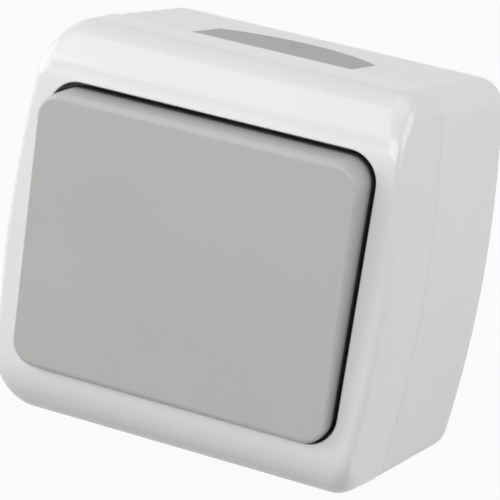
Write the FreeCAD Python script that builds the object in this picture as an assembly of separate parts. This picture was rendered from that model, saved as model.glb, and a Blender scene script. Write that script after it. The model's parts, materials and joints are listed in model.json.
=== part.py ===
import FreeCAD, Part
import math
import os
from FreeCAD import Vector

# Surface mounted rocker light switch, in millimetres.
# The origin is the centre of the back face, which lies on the wall. X runs to the right,
# Z up and Y into the wall, so a depth d in front of the wall is the plane y = -d.

# Housing outline
WIDTH = 76.0              # across the middle of the bowed sides
SEAM_HEIGHT = 73.8        # at the base's rim
BASE_TAPER = 1.05         # base's top and bottom draw in by this from the seam to the wall
BACK_HEIGHT = SEAM_HEIGHT - 2 * BASE_TAPER
BOW_RADIUS = 227.0        # curve of the sides, seen from the front
SEAM_DEPTH = 29.4         # base's rim
COVER_STEP = 0.25         # cover stands proud of the base above and below
COVER_DRAFT = 0.8         # degrees, of the cover's top and bottom
FRONT_RADIUS = 10.8       # rounds the cover's top and bottom into its front
CORNER_RADIUS = 5.2       # four long corners
SIDE_EDGE_RADIUS = 1.6    # upright edges of the front
ROUND_STEPS = 10          # sections that shape the front's round
BACK_EDGE = 0.5           # chamfer round the back face
WALL = 2.2
FLOOR = 2.2

# Seal between base and cover
GASKET_INSET = 1.2
GASKET_WIDTH = 1.1
GASKET_HEIGHT = 1.6

# Opening, collar and floor of the well that the rocker sits in
FRAME_SIDE = 5.45         # front face left and right of the opening
FRAME_END = 10.15         # from the rim's height to the opening, above and below
OPENING_WIDTH = WIDTH - 2 * FRAME_SIDE
OPENING_HEIGHT = SEAM_HEIGHT - 2 * FRAME_END
OPENING_RADIUS = 5.6
COLLAR_WALL = 1.8
WELL_FLOOR_DEPTH = 39.5   # front face of the well's floor
WELL_DEPTH = 8.3
FRONT_DEPTH = WELL_FLOOR_DEPTH + WELL_DEPTH
WELL_FLOOR = 1.6
GUSSET = 1.2
GUSSET_PITCH = 22.0

# Cable entries, a D-shaped seal in the base's top and bottom walls
ENTRY_WIDTH = 32.0
ENTRY_ARCH = 6.5          # height of the curved back edge
ENTRY_BACK_DEPTH = 9.8    # nearest point to the wall
ENTRY_RECESS = 0.4        # seal's face below the wall's face
ENTRY_REBATE = 1.2        # depth and width of the step in the wall
SEAL_CLEARANCE = 0.03
SEAL_FLANGE = 1.0
MEMBRANE_RIM = 3.4        # round the membrane
MEMBRANE = 0.8
NIPPLE_RADIUS = 1.25      # half the width of the square mark that shows where to pierce
NIPPLE_HEIGHT = 0.5

# Wall fixing slots and rear knock-out
FIXING_INSET_X = 18.0
FIXING_INSET_Z = 8.85
FIXING_SPACING_X = WIDTH - 2 * FIXING_INSET_X
FIXING_SPACING_Z = BACK_HEIGHT - 2 * FIXING_INSET_Z
FIXING_SLOT_LENGTH = 7.0
FIXING_HOLE_RADIUS = 2.2
FIXING_PAD_RADIUS = 4.4   # half the pad's height, and its reach past the slot's end centres
FIXING_PAD_HEIGHT = 1.0
KNOCKOUT_RADIUS = 10.0
KNOCKOUT_GROOVE = 0.8     # depth of its recess in the back

# Rocker
PIVOT_RISE = 4.3          # pivot in front of the well's floor
PIVOT_DEPTH = WELL_FLOOR_DEPTH + PIVOT_RISE
REST_TILT = 4.0           # degrees, top edge out
ROCKER_SIDE_GAP = 0.85
ROCKER_END_GAP = 0.75
ROCKER_RISE = 8.4         # face in front of the pivot
ROCKER_WALL = 1.7
ROCKER_FACE = 2.0
ROCKER_END_RADIUS = 1.4   # top and bottom edges of the face
ROCKER_SIDE_RADIUS = 0.5  # upright edges of the face
ROCKER_EDGE_STEPS = 3     # sections that shape the face's edges
SKIRT_DROP = 1.2          # skirt's rim behind the pivot
RIB = 1.0
RIB_HEIGHT = 1.6
RIB_SIDE = 8.0            # outside the clip legs
RIB_END = 5.0             # beyond the dolly's table
CLIP_LEG = 1.4
CLIP_WIDTH = 6.0
CLIP_HOOK = 0.5
CLIP_CLEARANCE = 0.1

# Dolly, the lever under the rocker
DOLLY_WIDTH = 17.0
HUB_RADIUS = 4.0
TRUNNION_RADIUS = 2.0
TABLE_LIP = 0.5           # table past the neck, for the clips
TABLE_WIDTH = DOLLY_WIDTH + 2 * TABLE_LIP
TABLE_HEIGHT = 16.0
TABLE = 1.3
ARM_RADIUS = 3.3
BORE_RADIUS = 2.0
BORE_START = -1.5
RUNNING_CLEARANCE = 0.06

# Plunger and spring, measured from the pivot along the arm
PLUNGER_REACH = 15.0
PLUNGER_PROUD = 5.2       # out of the arm
PLUNGER_LENGTH = 8.6
PLUNGER_NOSE_RADIUS = 1.3
PLUNGER_NOSE_CAP = 35.0   # degrees of the round tip, from its axis
PLUNGER_NOSE = 2.4        # from the shoulder to the tip
ARM_REACH = PLUNGER_REACH - PLUNGER_PROUD
PLUNGER_HEAD = PLUNGER_REACH - PLUNGER_LENGTH
PLUNGER_SHOULDER = PLUNGER_REACH - PLUNGER_NOSE
SPRING_WIRE = 0.4
SPRING_TURNS = 3
SPRING_CLEARANCE = 0.15

# Screws into the base's posts
COVER_SCREW_SIDE = 6.55   # from the opening's side
COVER_SCREW_END = 7.25    # from the opening's end
COVER_SCREW_X = OPENING_WIDTH / 2 - COVER_SCREW_SIDE
COVER_SCREW_Z = OPENING_HEIGHT / 2 - COVER_SCREW_END
POST_RADIUS = 3.3         # half the width of a square post
POST_GAP = 1.7            # from the cover screws' posts to the mechanism
WEB_DROP = 4.0            # webs' edge below the base's rim
SCREW_RADIUS = 1.45
SCREW_HEAD_RADIUS = 2.8
SCREW_HEAD = 1.6
SCREW_LENGTH = 12.0
SCREW_TIP_SPACE = 1.0
SCREW_CLEARANCE = 0.3
PILOT_CLEARANCE = 0.05
DRIVE_SLOT = 0.7
DRIVE_DEPTH = 0.8

# Mechanism body and bridge
BODY_WIDTH = 2 * (COVER_SCREW_X - POST_RADIUS - POST_GAP)
BODY_HEIGHT = 38.0
BODY_DEPTH = 21.0
BODY_RADIUS = 2.0
BODY_SIDE = 4.3           # wall beside the terminals
BODY_END = 2.2            # wall above and below the terminals
CHAMBER_END_WALL = 7.5
CHAMBER_SIDE_SPACE = 2.3  # beside the contact lever
CHAMBER_END_SPACE = 1.8   # above and below the contact lever
CHAMBER_HEIGHT = BODY_HEIGHT - 2 * CHAMBER_END_WALL
WINDOW_SEAL = 1.5
BRIDGE = 3.4
BODY_FRONT_DEPTH = WELL_FLOOR_DEPTH - WELL_FLOOR - WINDOW_SEAL - BRIDGE
BODY_BACK_DEPTH = BODY_FRONT_DEPTH - BODY_DEPTH
BRIDGE_WINDOW_WIDTH = 14.0
BRIDGE_WINDOW_HEIGHT = 12.0
EAR_WIDTH = 2.5
EAR_ROOT = 9.0
EAR_CLEARANCE = 0.3
EAR_TOP_RADIUS = 3.2
LUG = 2.0
LUG_RADIUS = 4.0
MECHANISM_SCREW_X = BODY_WIDTH / 2 + LUG_RADIUS
SCREW_ACCESS = 5.8        # square windows over the clamp screws
RIVET_RADIUS = 1.4
RIVET_EDGE = 3.8          # from the body's end
RIVET_Z = BODY_HEIGHT / 2 - RIVET_EDGE
WINDOW_MARGIN = 1.0       # round the dolly's ears and table
WINDOW_SEAL_WIDTH = 2.6

# Contact lever
LEVER_TILT = 8.0          # degrees each way, and slope of its two flanks
LEVER_THICKNESS = 1.0
LEVER_WIDTH = 4.4
LEVER_LENGTH = CHAMBER_HEIGHT - 2 * CHAMBER_END_SPACE
LEVER_BEAD_RADIUS = 0.9
CHAMBER_WIDTH = LEVER_WIDTH + 2 * CHAMBER_SIDE_SPACE
PLUNGER_CLEARANCE = 0.12
TIP_RADIUS = 1.5          # half the width of a square tip
TIP_THICKNESS = 1.0
TIP_EDGE = 0.1            # lever past its tips
TIP_OFFSET = LEVER_LENGTH / 2 - TIP_RADIUS - TIP_EDGE
CONTACT_CLEARANCE = 0.05

# Terminals
STRIP_THICKNESS = 1.0
STRIP_WIDTH = 3.4
STRIP_END = 0.6           # strips past the tips and the cradle
PAD_WIDTH = 5.4
CRADLE_LIP = 0.25         # cradle's edge behind the lever's pivot
CLAMP_WIDTH = 7.4
CLAMP_LENGTH = 6.4
CLAMP_WALL = 0.9
CLAMP_NUT = 1.4
CLAMP_WIRE_SPACE = 2.3
CLAMP_SCREW_SPACE = 4.0
TERMINAL_X = BODY_WIDTH / 2 - BODY_SIDE - CLAMP_WIDTH / 2
TERMINAL_Z = BODY_HEIGHT / 2 - BODY_END - CLAMP_LENGTH / 2
TERMINAL_SCREW_RADIUS = 1.6
TERMINAL_SCREW_END = 1.7  # out of the clamp
WIRE_HOLE_RADIUS = 1.5    # half the width of a square hole
FIT = 0.1                 # clearance of metal parts in their moulded pockets

# Places worked out from the sizes above
base_draft = math.degrees(math.atan(BASE_TAPER / SEAM_DEPTH))
well_back = WELL_FLOOR_DEPTH - WELL_FLOOR
bridge_front = BODY_FRONT_DEPTH + BRIDGE
gasket_front = SEAM_DEPTH + GASKET_HEIGHT
lever_pivot = (PIVOT_DEPTH - PLUNGER_REACH * math.cos(math.radians(REST_TILT))
               - PLUNGER_CLEARANCE - LEVER_THICKNESS)
strip_front = lever_pivot - 2 * TIP_THICKNESS - CONTACT_CLEARANCE
strip_back = strip_front - STRIP_THICKNESS
clamp_back = strip_back - CLAMP_WIRE_SPACE - CLAMP_WALL
clamp_front = strip_front + CLAMP_SCREW_SPACE + CLAMP_NUT
ear_inner = DOLLY_WIDTH / 2 + EAR_CLEARANCE
ear_outer = ear_inner + EAR_WIDTH
rocker_width = OPENING_WIDTH - 2 * ROCKER_SIDE_GAP
rocker_height = OPENING_HEIGHT - 2 * ROCKER_END_GAP
rocker_radius = OPENING_RADIUS - ROCKER_SIDE_GAP
rocker_face = PIVOT_DEPTH + ROCKER_RISE
skirt_rim = PIVOT_DEPTH - SKIRT_DROP
table_front = rocker_face - ROCKER_FACE
window_half_width = ear_outer + WINDOW_MARGIN
window_half_height = TABLE_HEIGHT / 2 + WINDOW_MARGIN
side_middle = OPENING_HEIGHT / 2 - FRONT_RADIUS / 2    # half height of the bowed sides' middle part
PAST = 1.0                # how far a cut runs past the face it leaves


def box(x0, x1, depth0, depth1, z0, z1):
    """Block between two depths in front of the wall."""
    return Part.makeBox(x1 - x0, depth1 - depth0, z1 - z0, Vector(x0, -depth1, z0))


def rod(x, z, depth0, depth1, radius):
    """Round bar that points out of the wall."""
    return Part.makeCylinder(radius, depth1 - depth0, Vector(x, -depth0, z), Vector(0, -1, 0))


def cross_rod(x0, x1, depth, z, radius):
    """Round bar along X."""
    return Part.makeCylinder(radius, x1 - x0, Vector(x0, -depth, z), Vector(1, 0, 0))


def prism(width, height, radius, depth0, depth1):
    """Central block with four rounded corners, seen from the front."""
    block = box(-width / 2, width / 2, depth0, depth1, -height / 2, height / 2)
    corners = [edge for edge in block.Edges if edge.BoundBox.YLength > (depth1 - depth0) / 2]
    return block.makeFillet(radius, corners)


def slot(x, z, length, radius, depth0, depth1):
    """Obround bar, its length along X."""
    half = length / 2 - radius
    middle = box(x - half, x + half, depth0, depth1, z - radius, z + radius)
    return fuse([middle] + [rod(x + side * half, z, depth0, depth1, radius) for side in (-1, 1)])


def fuse(pieces):
    """One solid from pieces that meet."""
    return pieces[0].multiFuse(pieces[1:]).removeSplitter()


def sided(side, x0, x1, depth0, depth1, z0, z1):
    """Block on the right of the middle, or its mirror image on the left for side -1."""
    left, right = sorted((side * x0, side * x1))
    return box(left, right, depth0, depth1, z0, z1)


def mirror_z(shape):
    return shape.mirror(Vector(0, 0, 0), Vector(0, 0, 1))


def tilt_rocker(shape):
    """Turn a piece from its upright pose to the rest pose about the rocker's pivot."""
    turned = shape.copy()
    turned.rotate(Vector(0, -PIVOT_DEPTH, 0), Vector(1, 0, 0), REST_TILT)
    return turned


def tilt_lever(shape):
    """Turn a piece to the rest pose about the contact lever's pivot."""
    turned = shape.copy()
    turned.rotate(Vector(0, -lever_pivot, 0), Vector(1, 0, 0), -LEVER_TILT)
    return turned


def bow_arcs(side, bow_centre, bow, heights, y):
    """Arcs of one bowed side, from each height to the next."""
    arcs = []
    for start, end in zip(heights, heights[1:]):
        points = [Vector(side * (bow_centre + math.sqrt(bow ** 2 - z ** 2)), y, z)
                  for z in (start, (start + end) / 2, end)]
        arcs.append(Part.Arc(*points).toShape())
    return arcs


def outline(half_width, half_height, bow, corner, depth):
    """Wire of straight ends, round corners and sides that bow outwards. Each side is three arcs of one
    circle, and its middle arc ends at the same heights in every section."""
    y = -depth
    bow_centre = half_width - bow
    corner_z = half_height - corner
    corner_x = bow_centre + math.sqrt((bow - corner) ** 2 - corner_z ** 2)
    meet_x = bow_centre + (corner_x - bow_centre) * bow / (bow - corner)
    meet_z = corner_z * bow / (bow - corner)
    middle = (math.atan2(meet_z, meet_x - bow_centre) + math.pi / 2) / 2
    corner_arcs = []
    for side, end in ((1, 1), (-1, 1), (-1, -1), (1, -1)):
        on_side = Vector(side * meet_x, y, end * meet_z)
        between = Vector(side * (corner_x + corner * math.cos(middle)), y,
                         end * (corner_z + corner * math.sin(middle)))
        on_end = Vector(side * corner_x, y, end * half_height)
        corner_arcs.append((on_side, between, on_end))
    top_right, top_left, low_left, low_right = corner_arcs
    heights = (meet_z, side_middle, -side_middle, -meet_z)
    edges = [Part.Arc(*top_right).toShape(),
             Part.LineSegment(top_right[2], top_left[2]).toShape(),
             Part.Arc(*reversed(top_left)).toShape()]
    edges += bow_arcs(-1, bow_centre, bow, heights, y)
    edges += [Part.Arc(*low_left).toShape(),
              Part.LineSegment(low_left[2], low_right[2]).toShape(),
              Part.Arc(*reversed(low_right)).toShape()]
    edges += bow_arcs(1, bow_centre, bow, tuple(reversed(heights)), y)
    return Part.Wire(edges)


def rounded_rectangle(width, height, radius, depth):
    """Wire of a rectangle with round corners, in the plane of a depth."""
    y = -depth
    x = width / 2
    z = height / 2
    bend = radius * (1 - math.sqrt(0.5))
    edges = []
    for sx, sz, across in ((1, 1, False), (-1, 1, True), (-1, -1, False), (1, -1, True)):
        on_side = Vector(sx * x, y, sz * (z - radius))
        on_end = Vector(sx * (x - radius), y, sz * z)
        first, last = (on_end, on_side) if across else (on_side, on_end)
        if edges:
            edges.append(Part.LineSegment(edges[-1].Vertexes[-1].Point, first).toShape())
        edges.append(Part.Arc(first, Vector(sx * (x - bend), y, sz * (z - bend)), last).toShape())
    edges.append(Part.LineSegment(edges[-1].Vertexes[-1].Point, edges[0].Vertexes[0].Point).toShape())
    return Part.Wire(edges)


def loft(sections):
    """Solid ruled from each section to the next."""
    return Part.makeLoft(sections, True, True).removeSplitter()


def bar(section, length):
    """Straight bar from a section towards the front."""
    return Part.Face(section).extrude(Vector(0, -length, 0)).removeSplitter()


def base_outline(inset, depth):
    """Outline of the drafted base at a depth, inset from its outer face."""
    rise = (SEAM_DEPTH - depth) * math.tan(math.radians(base_draft))
    return outline(WIDTH / 2 - inset, SEAM_HEIGHT / 2 - rise - inset, BOW_RADIUS - inset,
                   CORNER_RADIUS - inset, depth)


def rim_bar(inset, depth0, depth1):
    """Straight bar with the outline of the base's rim, inset."""
    rim = outline(WIDTH / 2 - inset, SEAM_HEIGHT / 2 - inset, BOW_RADIUS - inset,
                  CORNER_RADIUS - inset, depth0)
    return bar(rim, depth1 - depth0)


def cover_form():
    """Outer solid from the seam to the front: a short drafted length, then the round of top and bottom.
    Through the round the sides turn in by their edge radius and the corners shrink to it."""
    start = FRONT_DEPTH - FRONT_RADIUS
    seam_half = SEAM_HEIGHT / 2 + COVER_STEP
    start_half = seam_half - (start - SEAM_DEPTH) * math.tan(math.radians(COVER_DRAFT))
    edge = SIDE_EDGE_RADIUS
    sections = [outline(WIDTH / 2, seam_half, BOW_RADIUS, CORNER_RADIUS, SEAM_DEPTH)]
    for step in range(ROUND_STEPS + 1):
        turn = math.pi / 2 * step / ROUND_STEPS
        depth = start + FRONT_RADIUS * math.sin(turn)
        in_edge = min(max(depth - FRONT_DEPTH + edge, 0.0), edge)
        turned_in = edge - math.sqrt(edge ** 2 - in_edge ** 2)
        drop = 1 - math.cos(turn)
        sections.append(outline(WIDTH / 2 - turned_in, start_half - FRONT_RADIUS * drop, BOW_RADIUS,
                                CORNER_RADIUS - (CORNER_RADIUS - edge) * drop, depth))
    return loft(sections)


def cover_hollow():
    """Room inside the cover: a bar with the rim's outline, its front rounded above and below."""
    front = FRONT_DEPTH - WALL
    draw = (front - SEAM_DEPTH) * math.tan(math.radians(COVER_DRAFT))
    seam_half = SEAM_HEIGHT / 2 + COVER_STEP - WALL
    reach = WIDTH / 2
    corners = [(SEAM_DEPTH, seam_half), (front, seam_half - draw), (front, draw - seam_half),
               (SEAM_DEPTH, -seam_half)]
    points = [Vector(-reach, -depth, height) for depth, height in corners]
    room = Part.Face(Part.makePolygon(points + [points[0]])).extrude(Vector(2 * reach, 0, 0))
    ends = [edge for edge in room.Edges
            if edge.BoundBox.XLength > reach and edge.BoundBox.YMax < -SEAM_DEPTH - PAST]
    room = room.makeFillet(FRONT_RADIUS - WALL, ends)
    rim = outline(WIDTH / 2 - WALL, seam_half, BOW_RADIUS - WALL, CORNER_RADIUS - WALL, SEAM_DEPTH)
    return room.common(bar(rim, front - SEAM_DEPTH))


def entry_face(inset, height):
    """D shape of a cable entry, its straight edge on the seam, in a level plane."""
    arch_radius = ((ENTRY_WIDTH / 2) ** 2 + ENTRY_ARCH ** 2) / (2 * ENTRY_ARCH)
    centre = ENTRY_BACK_DEPTH + arch_radius
    radius = arch_radius - inset
    half = ENTRY_WIDTH / 2 - inset
    shoulder = centre - math.sqrt(radius ** 2 - half ** 2)
    front_left = Vector(-half, -SEAM_DEPTH, height)
    front_right = Vector(half, -SEAM_DEPTH, height)
    back_left = Vector(-half, -shoulder, height)
    back_right = Vector(half, -shoulder, height)
    edges = [Part.LineSegment(front_left, back_left).toShape(),
             Part.Arc(back_left, Vector(0, radius - centre, height), back_right).toShape(),
             Part.LineSegment(back_right, front_right).toShape(),
             Part.LineSegment(front_right, front_left).toShape()]
    return Part.Face(Part.Wire(edges))


def lean_on_wall(shape):
    """Lean a level piece by the base's draft, about the top wall's edge at the seam."""
    leaning = shape.copy()
    leaning.rotate(Vector(0, -SEAM_DEPTH, SEAM_HEIGHT / 2), Vector(1, 0, 0), -base_draft)
    return leaning


def entry_prism(inset, below0, below1):
    """Entry-shaped plate between two distances under the wall's outer face."""
    plate = entry_face(inset, SEAM_HEIGHT / 2 - below1)
    return lean_on_wall(plate.extrude(Vector(0, 0, below1 - below0)))


def entry_cut():
    """What the base's top wall leaves open for the seal: a step, then the smaller way through."""
    step = entry_prism(0.0, -PAST, ENTRY_REBATE)
    return fuse([step, entry_prism(ENTRY_REBATE, ENTRY_REBATE, WALL + PAST)])


def cable_seal():
    """Soft plate that grips the wall's step, thinned to a membrane in the middle."""
    under = WALL + SEAL_CLEARANCE
    plate = fuse([entry_prism(SEAL_CLEARANCE, ENTRY_RECESS, ENTRY_REBATE - SEAL_CLEARANCE),
                  entry_prism(ENTRY_REBATE + SEAL_CLEARANCE, ENTRY_RECESS, under),
                  entry_prism(SEAL_CLEARANCE, under, under + SEAL_FLANGE)])
    half = ENTRY_WIDTH / 2
    rim = box(-half, half, SEAM_DEPTH - MEMBRANE_RIM, SEAM_DEPTH + PAST, 0, SEAM_HEIGHT / 2)
    thinning = entry_prism(MEMBRANE_RIM, ENTRY_RECESS + MEMBRANE, under + SEAL_FLANGE + PAST).cut(rim)
    top = SEAM_HEIGHT / 2 - ENTRY_RECESS
    middle = (SEAM_DEPTH + ENTRY_BACK_DEPTH) / 2
    nipple = box(-NIPPLE_RADIUS, NIPPLE_RADIUS, middle - NIPPLE_RADIUS, middle + NIPPLE_RADIUS,
                 top - MEMBRANE / 2, top + NIPPLE_HEIGHT)
    in_front = box(-half, half, SEAM_DEPTH, SEAM_DEPTH + PAST, 0, SEAM_HEIGHT / 2)
    return fuse([plate.cut([thinning, in_front]), lean_on_wall(nipple)])


def fixing_places():
    return [(sx * FIXING_SPACING_X / 2, sz * FIXING_SPACING_Z / 2) for sx in (-1, 1) for sz in (-1, 1)]


def mechanism_screw_places():
    return [(-MECHANISM_SCREW_X, 0.0), (MECHANISM_SCREW_X, 0.0)]


def cover_screw_places():
    return [(-COVER_SCREW_X, COVER_SCREW_Z), (COVER_SCREW_X, -COVER_SCREW_Z)]


def post(x, z, top):
    """Square post on the base's floor."""
    return box(x - POST_RADIUS, x + POST_RADIUS, FLOOR / 2, top, z - POST_RADIUS, z + POST_RADIUS)


def base_supports():
    """Posts for the screws, webs that tie the middle ones to the walls, and pads round the slots."""
    pieces = [post(x, z, BODY_FRONT_DEPTH) for x, z in mechanism_screw_places()]
    pieces += [post(x, z, well_back) for x, z in cover_screw_places()]
    for side in (-1, 1):
        pieces.append(sided(side, MECHANISM_SCREW_X, (WIDTH - WALL) / 2, FLOOR / 2, SEAM_DEPTH - WEB_DROP,
                            -GUSSET / 2, GUSSET / 2))
    half = FIXING_SLOT_LENGTH / 2 - FIXING_HOLE_RADIUS + FIXING_PAD_RADIUS
    for x, z in fixing_places():
        pieces.append(box(x - half, x + half, FLOOR / 2, FLOOR + FIXING_PAD_HEIGHT,
                          z - FIXING_PAD_RADIUS, z + FIXING_PAD_RADIUS))
    return pieces


def base_box():
    """Open tray against the wall, with fixing slots, a knock-out and the two cable entries."""
    shell = loft([base_outline(BACK_EDGE, 0.0), base_outline(0.0, BACK_EDGE),
                  base_outline(0.0, SEAM_DEPTH)])
    tray = shell.cut(loft([base_outline(WALL, FLOOR), base_outline(WALL, SEAM_DEPTH + PAST)]))
    cuts = [entry_cut(), mirror_z(entry_cut())]
    for x, z in fixing_places():
        cuts.append(slot(x, z, FIXING_SLOT_LENGTH, FIXING_HOLE_RADIUS, -PAST,
                         FLOOR + FIXING_PAD_HEIGHT + PAST))
    pilot = SCREW_RADIUS + PILOT_CLEARANCE
    for x, z in mechanism_screw_places():
        cuts.append(rod(x, z, BODY_FRONT_DEPTH - SCREW_LENGTH, BODY_FRONT_DEPTH + PAST, pilot))
    for x, z in cover_screw_places():
        cuts.append(rod(x, z, well_back - SCREW_LENGTH, well_back + PAST, pilot))
    cuts.append(rod(0, 0, -PAST, KNOCKOUT_GROOVE, KNOCKOUT_RADIUS))
    return fuse([tray] + base_supports()).cut(cuts)


def cover_gussets():
    """Ribs that tie the collar to the shell above and below."""
    inner = OPENING_HEIGHT / 2 + COLLAR_WALL / 2
    outer = SEAM_HEIGHT / 2 - WALL / 2
    ribs = []
    for x in (-GUSSET_PITCH, 0.0, GUSSET_PITCH):
        for low, high in ((inner, outer), (-outer, -inner)):
            ribs.append(box(x - GUSSET / 2, x + GUSSET / 2, well_back, FRONT_DEPTH - WALL / 2, low, high))
    return ribs


def front_cover():
    """Shell with the opening, a collar behind it and the floor of the rocker's well."""
    collar = prism(OPENING_WIDTH + 2 * COLLAR_WALL, OPENING_HEIGHT + 2 * COLLAR_WALL,
                   OPENING_RADIUS + COLLAR_WALL, well_back, FRONT_DEPTH)
    hollow = cover_hollow().cut([collar] + cover_gussets())
    well = prism(OPENING_WIDTH, OPENING_HEIGHT, OPENING_RADIUS, WELL_FLOOR_DEPTH, FRONT_DEPTH + PAST)
    window = box(-window_half_width, window_half_width, well_back - PAST, WELL_FLOOR_DEPTH + PAST,
                 -window_half_height, window_half_height)
    cuts = [hollow, well, window, rim_bar(GASKET_INSET, SEAM_DEPTH - PAST, gasket_front)]
    for x, z in cover_screw_places():
        cuts.append(rod(x, z, well_back - PAST, WELL_FLOOR_DEPTH + PAST, SCREW_RADIUS + SCREW_CLEARANCE))
    return cover_form().cut(cuts)


def cover_gasket():
    outer = rim_bar(GASKET_INSET, SEAM_DEPTH, gasket_front)
    return outer.cut(rim_bar(GASKET_INSET + GASKET_WIDTH, SEAM_DEPTH - PAST, gasket_front + PAST))


def window_seal():
    """Flat seal between the bridge and the well's floor, round the dolly's window."""
    outer_x = window_half_width + WINDOW_SEAL_WIDTH
    outer_z = window_half_height + WINDOW_SEAL_WIDTH
    plate = box(-outer_x, outer_x, bridge_front, well_back, -outer_z, outer_z)
    return plate.cut(box(-window_half_width, window_half_width, bridge_front - PAST, well_back + PAST,
                         -window_half_height, window_half_height))


def slotted(screw, x, z, radius, top):
    """Cut a driver's slot across a screw's end."""
    return screw.cut(box(x - radius, x + radius, top - DRIVE_DEPTH, top + PAST,
                         z - DRIVE_SLOT / 2, z + DRIVE_SLOT / 2))


def pan_screw(x, z, seat, length):
    """Screw with its head on a seat, shank towards the wall."""
    shank = rod(x, z, seat - length, seat, SCREW_RADIUS)
    top = seat + SCREW_HEAD
    head = rod(x, z, seat, top, SCREW_HEAD_RADIUS)
    return slotted(fuse([shank, head]), x, z, SCREW_HEAD_RADIUS, top)


def cover_screws():
    length = SCREW_LENGTH - SCREW_TIP_SPACE + WELL_FLOOR
    return Part.makeCompound([pan_screw(x, z, WELL_FLOOR_DEPTH, length) for x, z in cover_screw_places()])


def mechanism_screws():
    length = SCREW_LENGTH - SCREW_TIP_SPACE + LUG
    seat = BODY_FRONT_DEPTH + LUG
    return Part.makeCompound([pan_screw(x, z, seat, length) for x, z in mechanism_screw_places()])


def terminal_places():
    """Common terminal first, then the two switched ones."""
    return [(TERMINAL_X, TERMINAL_Z), (-TERMINAL_X, TERMINAL_Z), (-TERMINAL_X, -TERMINAL_Z)]


def strip(x0, x1, z0, z1):
    return box(x0, x1, strip_back, strip_front, z0, z1)


def switched_terminal():
    """Flat strip from under the upper contact tip to its clamp."""
    low = TIP_OFFSET - STRIP_WIDTH / 2
    run = strip(-TERMINAL_X, TIP_RADIUS + STRIP_END, low, low + STRIP_WIDTH)
    pad = strip(-TERMINAL_X - PAD_WIDTH / 2, -TERMINAL_X + PAD_WIDTH / 2, low,
                TERMINAL_Z + CLAMP_LENGTH / 2)
    return fuse([run, pad])


def common_strip():
    """Flat strip from under the lever's pivot to the common clamp."""
    run = strip(-LEVER_WIDTH / 2 - STRIP_END, TERMINAL_X, -STRIP_WIDTH / 2, STRIP_WIDTH / 2)
    pad = strip(TERMINAL_X - PAD_WIDTH / 2, TERMINAL_X + PAD_WIDTH / 2, -STRIP_WIDTH / 2,
                TERMINAL_Z + CLAMP_LENGTH / 2)
    return fuse([run, pad])


def common_terminal():
    """Common strip with the notched cradle that carries the contact lever."""
    cradle = box(-LEVER_WIDTH / 2, LEVER_WIDTH / 2, strip_back, lever_pivot - CRADLE_LIP,
                 -STRIP_WIDTH / 2, STRIP_WIDTH / 2)
    notch = cross_rod(-LEVER_WIDTH, LEVER_WIDTH, lever_pivot, 0, LEVER_BEAD_RADIUS + RUNNING_CLEARANCE)
    return fuse([common_strip(), cradle]).cut(notch)


def tip(z, depth0):
    """Square silver tip on the middle line."""
    return box(-TIP_RADIUS, TIP_RADIUS, depth0, depth0 + TIP_THICKNESS, z - TIP_RADIUS, z + TIP_RADIUS)


def fixed_tips():
    return Part.makeCompound([tip(end * TIP_OFFSET, strip_front) for end in (1, -1)])


def terminal_clamp(x, z):
    """Cage round a strip, with a thicker threaded wall in front."""
    half = CLAMP_WIDTH / 2
    low = z - CLAMP_LENGTH / 2
    high = z + CLAMP_LENGTH / 2
    cage = box(x - half, x + half, clamp_back, clamp_front, low, high)
    nut_back = clamp_front - CLAMP_NUT
    inside = box(x - half + CLAMP_WALL, x + half - CLAMP_WALL, clamp_back + CLAMP_WALL, nut_back,
                 low - PAST, high + PAST)
    thread = rod(x, z, nut_back - PAST, clamp_front + PAST, TERMINAL_SCREW_RADIUS + PILOT_CLEARANCE)
    return cage.cut([inside, thread])


def terminal_screw(x, z):
    """Headless clamp screw, its end on the strip."""
    top = clamp_front + TERMINAL_SCREW_END
    shank = rod(x, z, strip_front, top, TERMINAL_SCREW_RADIUS)
    return slotted(shank, x, z, TERMINAL_SCREW_RADIUS, top)


def pocket(x, z):
    """Room for one clamp in the mechanism's body, with its wire hole out of the nearer end."""
    half = CLAMP_WIDTH / 2 + FIT
    reach = CLAMP_LENGTH / 2 + FIT
    room = box(x - half, x + half, clamp_back - FIT, BODY_FRONT_DEPTH + PAST, z - reach, z + reach)
    wire = strip_back - CLAMP_WIRE_SPACE / 2
    low, high = sorted((z, math.copysign(BODY_HEIGHT / 2 + PAST, z)))
    return fuse([room, box(x - WIRE_HOLE_RADIUS, x + WIRE_HOLE_RADIUS, wire - WIRE_HOLE_RADIUS,
                           wire + WIRE_HOLE_RADIUS, low, high)])


def channel(strip_shape):
    """Way in from the front for a strip, with its fitting clearance."""
    back = max(strip_shape.Faces, key=lambda face: face.CenterOfMass.y)
    wider = Part.Face(back.OuterWire).makeOffset2D(FIT, join=2)
    return wider.extrude(Vector(0, strip_back - BODY_FRONT_DEPTH - PAST, 0))


def rivet_places():
    return [(0.0, RIVET_Z), (0.0, -RIVET_Z)]


def mechanism_body():
    """Moulded block with the contact chamber, terminal pockets and wire holes."""
    block = prism(BODY_WIDTH, BODY_HEIGHT, BODY_RADIUS, BODY_BACK_DEPTH, BODY_FRONT_DEPTH)
    chamber = box(-CHAMBER_WIDTH / 2, CHAMBER_WIDTH / 2, strip_back, BODY_FRONT_DEPTH + PAST,
                  -CHAMBER_HEIGHT / 2, CHAMBER_HEIGHT / 2)
    upper = switched_terminal()
    cuts = [chamber, channel(common_strip()), channel(upper), channel(mirror_z(upper))]
    cuts += [pocket(x, z) for x, z in terminal_places()]
    for x, z in rivet_places():
        cuts.append(rod(x, z, BODY_BACK_DEPTH - PAST, BODY_FRONT_DEPTH + PAST,
                        RIVET_RADIUS + PILOT_CLEARANCE))
    return block.cut(cuts)


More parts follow.
